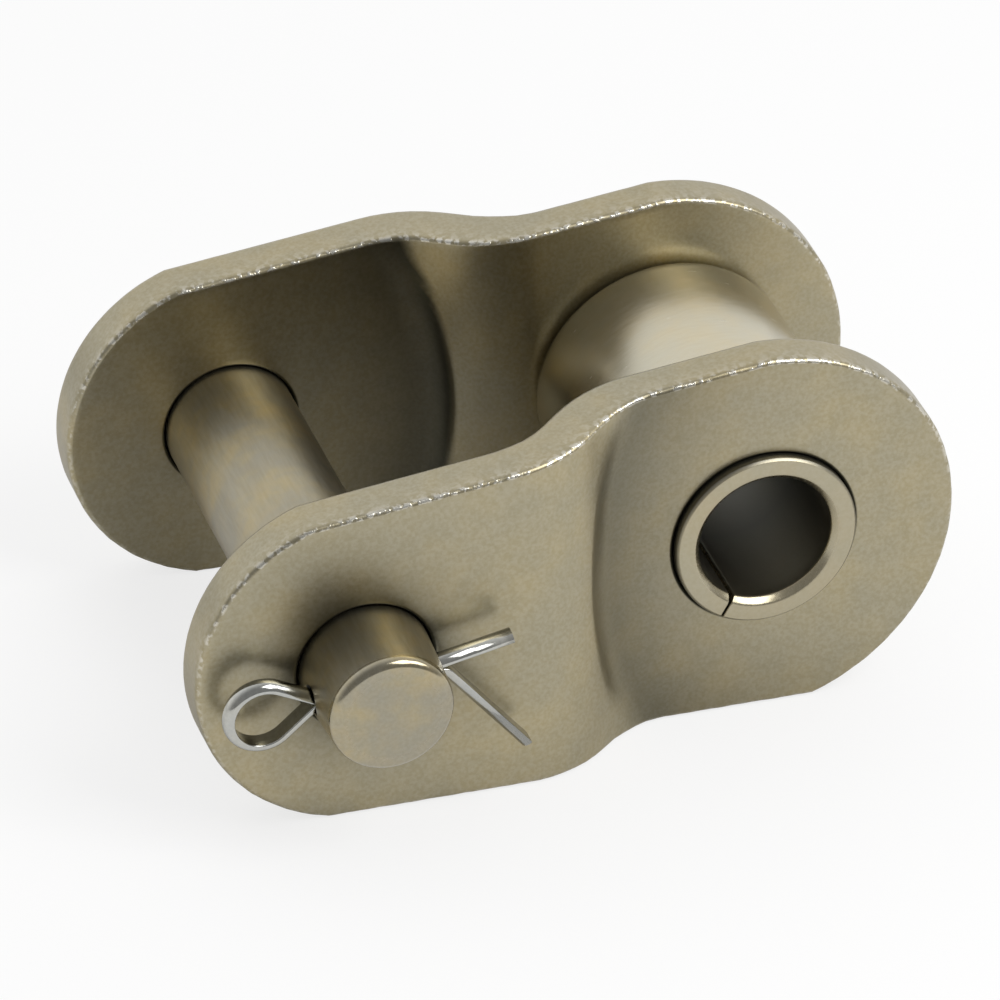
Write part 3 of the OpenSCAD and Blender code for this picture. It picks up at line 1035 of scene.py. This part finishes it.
@dataclass
class RollerStation(SubAssembly):
    """The curled bushing in the narrow end, and the loose roller on it."""

    sizes: LinkSizes
    bore_chamfer: float = 0.40
    bushing_chamfer: float = 0.15
    soft: float = 0.28
    outer_soft: float = 0.06
    seam_w: float = 0.14
    seam_angle: float = 238.0
    seam_round: float = 0.10
    seam_flare: float = 0.14
    seam_flare_depth: float = 0.55
    seam_steps: int = 4
    bore_row: float = 1.2
    bore_fade: float = 7.0
    # Painted shade of the bore, from its mouth inwards, and of a dark line at the outer rim.
    mouth_shade: float = 0.3
    mouth_share: float = 0.45
    rim_shade: float = 0.7
    rim_w: float = 0.08
    roller_edge_r: float = 0.9
    roller_bore_edge_r: float = 0.35
    roller_row: float = 1.1
    steps: int = 160

    def build(self) -> None:
        """Build and dress both pieces."""
        bushing = self.build_bushing("curled_bushing")
        self.dress(bushing, "bushing", "link", "bushing_steel", BUSHING_STEEL)
        self.dress(self.build_roller("loose_roller"), "roller", "roller", "roller_steel", ROLLER_STEEL)

    def build_bushing(self, name: str) -> bpy.types.Object:
        """Build the bushing, open at its seam, which flares towards the bore.

        Args:
            name: name of the piece.

        Returns:
            The bushing's object.
        """
        s = self.sizes
        half, deep = s.bushing_half, s.bushing_half - self.bore_fade
        middle_r = (s.bore_r + s.bushing_r) / 2
        corners = []
        for sign in (-1, 1):
            ends = [
                Corner(s.bore_r, sign * deep),
                Corner(s.bore_r, sign * (half - self.bore_row)),
                Corner(s.bore_r, sign * (half - self.bore_chamfer), self.soft),
                Corner(s.bore_r + self.bore_chamfer / 2, sign * (half - self.bore_chamfer / 2)),
                Corner(s.bore_r + self.bore_chamfer, sign * half, self.soft),
                Corner(s.bore_r + self.seam_flare_depth, sign * half),
                Corner(middle_r, sign * half),
                Corner(s.bushing_r - self.bushing_chamfer, sign * half, self.outer_soft),
                Corner(s.bushing_r, sign * (half - self.bushing_chamfer), self.outer_soft),
            ]
            corners += ends if sign < 0 else ends[::-1]
        profile = rounded_path(corners, closed=True, steps=3)
        flare = self.seam_flare * np.clip(1 - (profile[:, 0] - s.bore_r) / self.seam_flare_depth, 0, 1)
        gap = np.arcsin((self.seam_w / 2 + flare) / profile[:, 0])
        lips = []
        for t in np.linspace(0, math.pi / 2, self.seam_steps + 1):
            inset = self.seam_round * (1 - math.sin(t))
            lips.append((gap + self.seam_round * (1 - math.cos(t)) / s.bushing_r, inset))
        first = lips[-1][0]
        left = 2 * math.pi - 2 * first
        sweep = lips + [(first + left * k / self.steps, 0.0) for k in range(1, self.steps)]
        sweep += [(2 * math.pi - angle, inset) for angle, inset in lips[::-1]]
        columns = []
        for angle, inset in sweep:
            radius = np.clip(profile[:, 0], s.bore_r + inset, s.bushing_r - inset)
            y = np.clip(profile[:, 1], -half + inset, half - inset)
            at = math.radians(self.seam_angle) + angle
            columns.append(np.stack((radius * np.cos(at), y, radius * np.sin(at)), axis=-1))
        points = np.stack(columns, axis=1)
        # Painted shade: the bore grows darker with depth, and the outer rim is darkened as a line of shadow
        # at the gap.
        inside = np.isclose(profile[:, 0], s.bore_r)
        rim = profile[:, 0] > s.bushing_r - self.rim_w
        depth = np.clip((half - np.abs(profile[:, 1])) / self.bore_fade, 0, 1)
        inner_shade = self.mouth_shade + (1 - self.mouth_shade) * depth
        shade = np.select((inside, rim), (inner_shade, self.rim_shade), 0.0)[:, None]
        from_middle = np.abs(profile[:, 0] - s.bore_r - self.bore_chamfer / 2)
        mouth = from_middle < self.bore_chamfer * self.mouth_share
        draft = Draft()
        draft.sheet(points, edge=np.where(mouth, 1.0, 0.0)[:, None], shade=shade, loop_rows=True)
        # The seam's faces are painted fully dark as the shadow in the slit.
        draft.cap(points[:, 0], shade=1.0)
        draft.cap(points[:, -1], shade=1.0)
        return draft.build(name)

    def build_roller(self, name: str) -> bpy.types.Object:
        """Build the roller, rounded at its ends.

        Args:
            name: name of the piece.

        Returns:
            The roller's object.
        """
        s = self.sizes
        bore = s.bushing_r + s.roller_fit
        corners = [
            Corner(bore, -s.roller_half, self.roller_bore_edge_r),
            Corner(s.roller_r, -s.roller_half, self.roller_edge_r),
            Corner(s.roller_r, self.roller_row - s.roller_half),
            Corner(s.roller_r, s.roller_half - self.roller_row),
            Corner(s.roller_r, s.roller_half, self.roller_edge_r),
            Corner(bore, s.roller_half, self.roller_bore_edge_r),
        ]
        profile = rounded_path(corners, closed=True, steps=10)
        angles = np.linspace(0, 2 * math.pi, self.steps, endpoint=False)
        draft = Draft()
        draft.sheet(revolve(profile, angles), loop_rows=True, loop_columns=True)
        return draft.build(name)


@dataclass
class PinStation(SubAssembly):
    """The headed pin through the wide end, and the split cotter across it."""

    sizes: LinkSizes
    pin_end_r: float = 3.65
    pin_edge_r: float = 0.6
    base_r: float = 3.93
    step_len: float = 1.0
    stub_row: float = 0.8
    seat_round: float = 0.1
    glint_inset: float = 0.2
    head_edge_r: float = 0.7
    end_crown: float = 0.05
    cotter_d: float = 1.25
    cotter_hole_r: float = 0.875
    cotter_stand_off: float = 1.7
    cotter_turn: float = 4.5
    hole_lip: float = 0.08
    # Painted shade on the cross hole's wall, darkest inside.
    hole_shade: tuple[float, ...] = (0.2, 1.0, 1.0, 0.2)
    hole_rings: int = 4
    eye_r: float = 1.7
    neck_r: float = 0.8
    neck_angle: float = 34.0
    eye_inset: float = 0.15
    cotter_slack: float = 0.15
    leg_slit: float = 0.06
    leg_corner_r: float = 0.10
    upper_leg: float = 4.4
    upper_leg_angle: float = 4.0
    lower_leg: float = 7.5
    lower_leg_angle: float = 58.0
    arch_steps: int = 14
    steps: int = 160
    block: int = 8

    @property
    def cotter_y(self) -> float:
        """Place of the cotter along the pin."""
        return -(self.sizes.wide_out + self.cotter_stand_off)

    def stub_r(self, y: Any) -> Any:
        """Radius of the pin's front end, which narrows from the plate to the tip."""
        share = (y + self.sizes.wide_out) / (self.sizes.pin_front_y + self.sizes.wide_out)
        return self.base_r + (self.pin_end_r - self.base_r) * share

    def build(self) -> None:
        """Build and dress both pieces."""
        self.dress(self.build_pin("headed_pin"), "connecting_pin", "link", "pin_steel", PIN_STEEL)
        self.dress(self.build_cotter("split_cotter"), "cotter_pin", "link", "cotter_wire", COTTER_WIRE)

    def place(self, x: np.ndarray, y: Any, z: np.ndarray) -> np.ndarray:
        """Points given from the pin's axis, turned about it as the cross hole is.

        Args:
            x: places along the cross hole.
            y: places along the pin.
            z: places across both.

        Returns:
            The points in the link's frame.
        """
        turn = math.radians(self.cotter_turn)
        across = x * math.cos(turn) - z * math.sin(turn) - self.sizes.pitch
        up = x * math.sin(turn) + z * math.cos(turn)
        return np.stack(np.broadcast_arrays(across, y, up), axis=-1)

    def build_pin(self, name: str) -> bpy.types.Object:
        """Build the pin with its cross hole.

        Args:
            name: name of the piece.

        Returns:
            The pin's object.
        """
        s = self.sizes
        r, y0 = self.pin_end_r, self.cotter_y
        reach = self.block * 2 * math.pi / self.steps
        block_y = np.linspace(y0 - r * reach, y0 + r * reach, 2 * self.block + 1)
        end_y = s.pin_front_y
        inner_r = r - 2 * self.pin_edge_r
        front = rounded_path(
            [
                Corner(0.0, end_y),
                Corner(inner_r / 2, end_y),
                Corner(inner_r, end_y),
                Corner(r, end_y + self.end_crown, self.pin_edge_r),
                Corner(self.stub_r(end_y + self.stub_row), end_y + self.stub_row),
                Corner(self.stub_r(block_y[0]), block_y[0]),
            ],
            closed=False,
            steps=8,
        )
        band = np.stack((self.stub_r(block_y[1:]), block_y[1:]), axis=1)
        back = rounded_path(
            [
                Corner(self.stub_r(block_y[-1]), block_y[-1]),
                Corner(self.base_r, -s.wide_out),
                Corner(s.pin_r, self.step_len - s.wide_out),
                Corner(s.pin_r, s.wide_out, self.seat_round),
                Corner(s.head_r, s.wide_out, self.seat_round),
                Corner(s.head_r, s.pin_back_y, self.head_edge_r),
                Corner(s.head_r - 2 * self.head_edge_r, s.pin_back_y),
                Corner(0.0, s.pin_back_y),
            ],
            closed=False,
            steps=8,
        )
        profile = np.concatenate((front, band, back[1:]))
        turn = math.radians(self.cotter_turn)
        angles = turn + np.linspace(0, 2 * math.pi, self.steps, endpoint=False)
        rounded = (profile[:, 0] > inner_r + self.glint_inset) & (profile[:, 1] < end_y + self.pin_edge_r)
        skip = np.zeros((len(profile), self.steps), bool)
        rows = slice(len(front) - 1, len(front) - 1 + 2 * self.block)
        for middle in (0, self.steps // 2):
            for k in range(-self.block, self.block):
                skip[rows, (middle + k) % self.steps] = True
        draft = Draft()
        points = revolve(profile, angles, -s.pitch)
        draft.sheet(points, edge=np.where(rounded, 1.0, 0.0)[:, None], loop_columns=True, skip=skip)
        self.add_cross_hole(draft, reach)
        return draft.build(name)

    def add_cross_hole(self, draft: Draft, reach: float) -> None:
        """Add the surface round the cross hole on both sides of the pin, and the hole's wall.

        Args:
            draft: the mesh under construction.
            reach: half width of the open block, as an angle.
        """
        r, hole, y0 = self.pin_end_r, self.cotter_hole_r, self.cotter_y
        ticks = np.linspace(-1, 1, 2 * self.block + 1)[:-1]
        ones = np.ones_like(ticks)
        u = np.concatenate((ticks, ones, -ticks, -ones)) * reach
        w = np.concatenate((-ones, ticks, ones, -ticks)) * reach * r
        angle = np.arctan2(w, u * r)
        border = np.stack((self.stub_r(y0 + w) * np.sin(u), w), axis=1)
        circle = np.stack((np.cos(angle), np.sin(angle)), axis=1)
        lips = []
        for side in (1, -1):
            points = []
            for t in np.linspace(0, 1, self.hole_rings + 1):
                ring = border + (circle * (hole + self.hole_lip) - border) * t
                x = side * np.sqrt(self.stub_r(y0 + ring[:, 1]) ** 2 - ring[:, 0] ** 2)
                points.append(self.place(x, ring[:, 1] + y0, ring[:, 0]))
            draft.sheet(np.stack(points), loop_columns=True)
            mouth = circle * hole
            x = side * (np.sqrt(self.stub_r(y0 + mouth[:, 1]) ** 2 - mouth[:, 0] ** 2) - self.hole_lip)
            inner = self.place(x, mouth[:, 1] + y0, mouth[:, 0])
            lips += [points[-1], inner] if side > 0 else [inner, points[-1]]
        # Painted shade: the cross hole's wall is darkened inside, as its shadow.
        draft.sheet(np.stack(lips), shade=np.array(self.hole_shade)[:, None], loop_columns=True)

    @staticmethod
    def bend(x: float, z: float, r: float, start: float, end: float, turn: float, steps: int) -> np.ndarray:
        """Places along one bend of the cotter's wire.

        Args:
            x: the bend's middle, from the pin's axis.
            z: likewise.
            r: radius of the bend.
            start: first angle about the middle.
            end: last angle.
            turn: 90 for an anticlockwise bend, -90 for a clockwise one.
            steps: steps of the bend.

        Returns:
            The x, the z and the heading in degrees of each place.
        """
        angle = np.linspace(start, end, steps + 1)
        arm = np.radians(angle)
        return np.stack((x + r * np.cos(arm), z + r * np.sin(arm), angle + turn), axis=1)

    @staticmethod
    def onward(place: np.ndarray, length: float) -> np.ndarray:
        """The place straight on from another."""
        heading = math.radians(place[2])
        return place + (length * math.cos(heading), length * math.sin(heading), 0)

    def cotter_path(self) -> np.ndarray:
        """Path of the wire's flat side, from the upper tip round the eye to the lower tip.

        Returns:
            Places as x and z from the pin's axis, and the heading in degrees.
        """
        leg_x = self.pin_end_r + self.cotter_slack
        leg_r = self.cotter_d / 2 + self.cotter_slack
        leg_rise = leg_r + self.leg_slit / 2
        neck_x = self.eye_inset - self.pin_end_r
        rise = self.neck_r + self.leg_slit / 2
        slope = math.radians(self.neck_angle)
        side_x = neck_x - self.neck_r * math.sin(slope)
        side_z = rise - self.neck_r * math.cos(slope)
        eye_x = side_x - (self.eye_r - side_z * math.cos(slope)) / math.sin(slope)
        eye_angle = 90 - self.neck_angle
        upper = self.bend(leg_x, leg_rise, leg_r, 270 + self.upper_leg_angle, 270, -90, 6)
        upper_neck = self.bend(neck_x, rise, self.neck_r, 270, 180 + eye_angle, -90, 16)
        eye = self.bend(eye_x, 0, self.eye_r, eye_angle, 360 - eye_angle, 90, 64)
        lower_neck = self.bend(neck_x, -rise, self.neck_r, 180 - eye_angle, 90, -90, 16)
        lower = self.bend(leg_x, -leg_rise, leg_r, 90, 90 - self.lower_leg_angle, -90, 12)
        upper_tip = self.onward(upper[0], -self.upper_leg)[None]
        lower_tip = self.onward(lower[-1], self.lower_leg)[None]
        return np.concatenate((upper_tip, upper, upper_neck, eye, lower_neck, lower, lower_tip))

    def build_cotter(self, name: str) -> bpy.types.Object:
        """Build the cotter by sweeping its half-round section.

        Args:
            name: name of the piece.

        Returns:
            The cotter's object.
        """
        leg_r = self.cotter_d / 2
        trim = 2 * math.asin(self.leg_corner_r / (leg_r - self.leg_corner_r))
        turn = np.linspace(trim, math.pi - trim, self.arch_steps + 1)
        arch = [Corner(leg_r * math.sin(t), -leg_r * math.cos(t)) for t in turn]
        ends = [Corner(0, side * leg_r, self.leg_corner_r) for side in (-1, 1)]
        section = rounded_path([ends[0], *arch, ends[1]], closed=True, steps=4)
        path = self.cotter_path()
        heading = np.radians(path[:, 2])[:, None]
        out, across = section[None, :, 0], section[None, :, 1]
        x = path[:, :1] + out * np.sin(heading)
        z = path[:, 1:2] - out * np.cos(heading)
        points = self.place(x, across + self.cotter_y, z)
        draft = Draft()
        draft.sheet(points, loop_columns=True)
        draft.cap(points[0])
        draft.cap(points[-1])
        return draft.build(name)


@dataclass
class Link:
    """The whole link, made of its sub-assemblies."""

    sizes: LinkSizes

    def build(self) -> None:
        """Build and dress every piece."""
        OffsetPlate(self.sizes, Side.FRONT).build("front_plate", "front_offset_plate")
        OffsetPlate(self.sizes, Side.REAR).build("rear_plate", "rear_offset_plate")
        RollerStation(self.sizes).build()
        PinStation(self.sizes).build()


@dataclass(frozen=True)
class Lamp:
    """Square soft lamp: the way to it from the link, its distance and width in mm, its radiance."""

    name: str
    way: Triple
    distance: float
    width: float
    radiance: float

    def hang(self) -> None:
        """Hang the lamp so that it points at the link."""
        data = bpy.data.lights.new(self.name, "AREA")
        data.size = self.width * MM
        data.energy = self.radiance * math.pi * data.size**2
        lamp = bpy.data.objects.new(self.name, data)
        lamp.location = Vector(self.way).normalized() * self.distance * MM
        lamp.rotation_euler = (-lamp.location).to_track_quat("-Z", "Y").to_euler()
        bpy.context.scene.collection.objects.link(lamp)


@dataclass
class Studio:
    """Pale floor, soft light and the camera of the photograph; places in millimetres."""

    sizes: LinkSizes
    eye: Triple = (-127.009, -380.376, 264.745)
    right: Triple = (0.94915, -0.31248, -0.03848)
    forward: Triple = (0.23943, 0.79578, -0.55624)
    focal_px: float = 8178.9
    image_px: float = 1000.0
    sensor_mm: float = 36.0
    floor_reach: float = 3000.0
    floor_tone: float = 0.92
    floor_white: float = 0.75
    floor_mirror: float = 0.60
    floor_gap: float = 0.02
    mirror_range_m: Range = (0.012, 0.020)
    front_sky: float = 0.31
    back_sky: float = 1.08
    sky_range: Range = (-0.6, 0.7)
    near_clip_m: float = 0.01
    lamps: tuple[Lamp, ...] = (
        Lamp("key", (0.45, -0.48, 0.72), 350, 180, 5.0),
        Lamp("side", (0.74, -0.40, 0.54), 350, 130, 4.0),
    )

    def set_up(self) -> None:
        """Make the camera, the floor, the world and the lamps."""
        self.add_camera()
        self.add_floor()
        self.add_world()
        for lamp in self.lamps:
            lamp.hang()
        bpy.context.scene.view_settings.view_transform = "Standard"

    def add_camera(self) -> None:
        """Make the camera at the photograph's place and lens."""
        data = bpy.data.cameras.new("photo_camera")
        data.sensor_width = self.sensor_mm
        data.lens = self.focal_px / self.image_px * self.sensor_mm
        data.clip_start = self.near_clip_m
        camera = bpy.data.objects.new("photo_camera", data)
        right, forward = Vector(self.right), Vector(self.forward)
        axes = Matrix((right, right.cross(forward), -forward)).transposed()
        camera.matrix_world = Matrix.Translation(Vector(self.eye) * MM) @ axes.to_4x4()
        bpy.context.scene.collection.objects.link(camera)
        bpy.context.scene.camera = camera

    def add_floor(self) -> None:
        """Lay the floor along the lower edges of the plates."""
        reach = self.floor_reach
        corners = [(-reach, -reach), (reach, -reach), (reach, reach), (-reach, reach)]
        draft = Draft()
        draft.cap(np.array([(x, y, -self.sizes.half_height(x) - self.floor_gap) for x, y in corners]))
        floor = draft.build("floor")
        material = bpy.data.materials.new("pale_floor")
        material.use_nodes = True
        material.cycles.emission_sampling = "NONE"
        graph = Graph(material.node_tree)
        tone = self.floor_tone
        matt = graph.add("ShaderNodeBsdfDiffuse", None, {"Color": (tone, tone, tone)})
        white = graph.add("ShaderNodeEmission", None, {"Color": (1.0, 1.0, 1.0), "Strength": 1.0})
        seen = graph.add("ShaderNodeLightPath", output="Is Camera Ray")
        mirrored = graph.add("ShaderNodeLightPath", output="Is Glossy Ray")
        place = graph.add("ShaderNodeNewGeometry", output="Position")
        ahead = graph.add("ShaderNodeSeparateXYZ", None, {0: place * (-1.0, -1.0, -1.0)}, output="Y")
        glow = mirrored * ahead.ease(*self.mirror_range_m) * self.floor_mirror
        share = seen * self.floor_white | glow
        surface = graph.add("ShaderNodeMixShader", None, {0: share, 1: matt, 2: white})
        graph.add("ShaderNodeOutputMaterial", None, {"Surface": surface})
        floor.data.materials.append(material)

    def add_world(self) -> None:
        """Make the world: white where the camera sees it, brighter behind the link than in front."""
        world = bpy.data.worlds.new("studio")
        world.use_nodes = True
        world.cycles.sampling_method = "NONE"
        graph = Graph(world.node_tree)
        seen = graph.add("ShaderNodeLightPath", output="Is Camera Ray")
        way = graph.add("ShaderNodeTexCoord", output="Generated")
        behind = graph.add("ShaderNodeSeparateXYZ", None, {0: way}, output="Y").ease(*self.sky_range)
        skies = []
        for strength in (self.front_sky, self.back_sky, 1.0):
            inputs = {"Color": (1.0, 1.0, 1.0), "Strength": strength}
            skies.append(graph.add("ShaderNodeBackground", None, inputs))
        soft = graph.add("ShaderNodeMixShader", None, {0: behind, 1: skies[0], 2: skies[1]})
        surface = graph.add("ShaderNodeMixShader", None, {0: seen, 1: soft, 2: skies[2]})
        graph.add("ShaderNodeOutputWorld", None, {"Surface": surface})
        bpy.context.scene.world = world


def main() -> None:
    """Build the link and its studio."""
    logging.basicConfig(level=logging.INFO, format="%(name)s: %(message)s")
    sizes = LinkSizes.from_frame()
    Link(sizes).build()
    Studio(sizes).set_up()


if __name__ == "__main__":
    main()
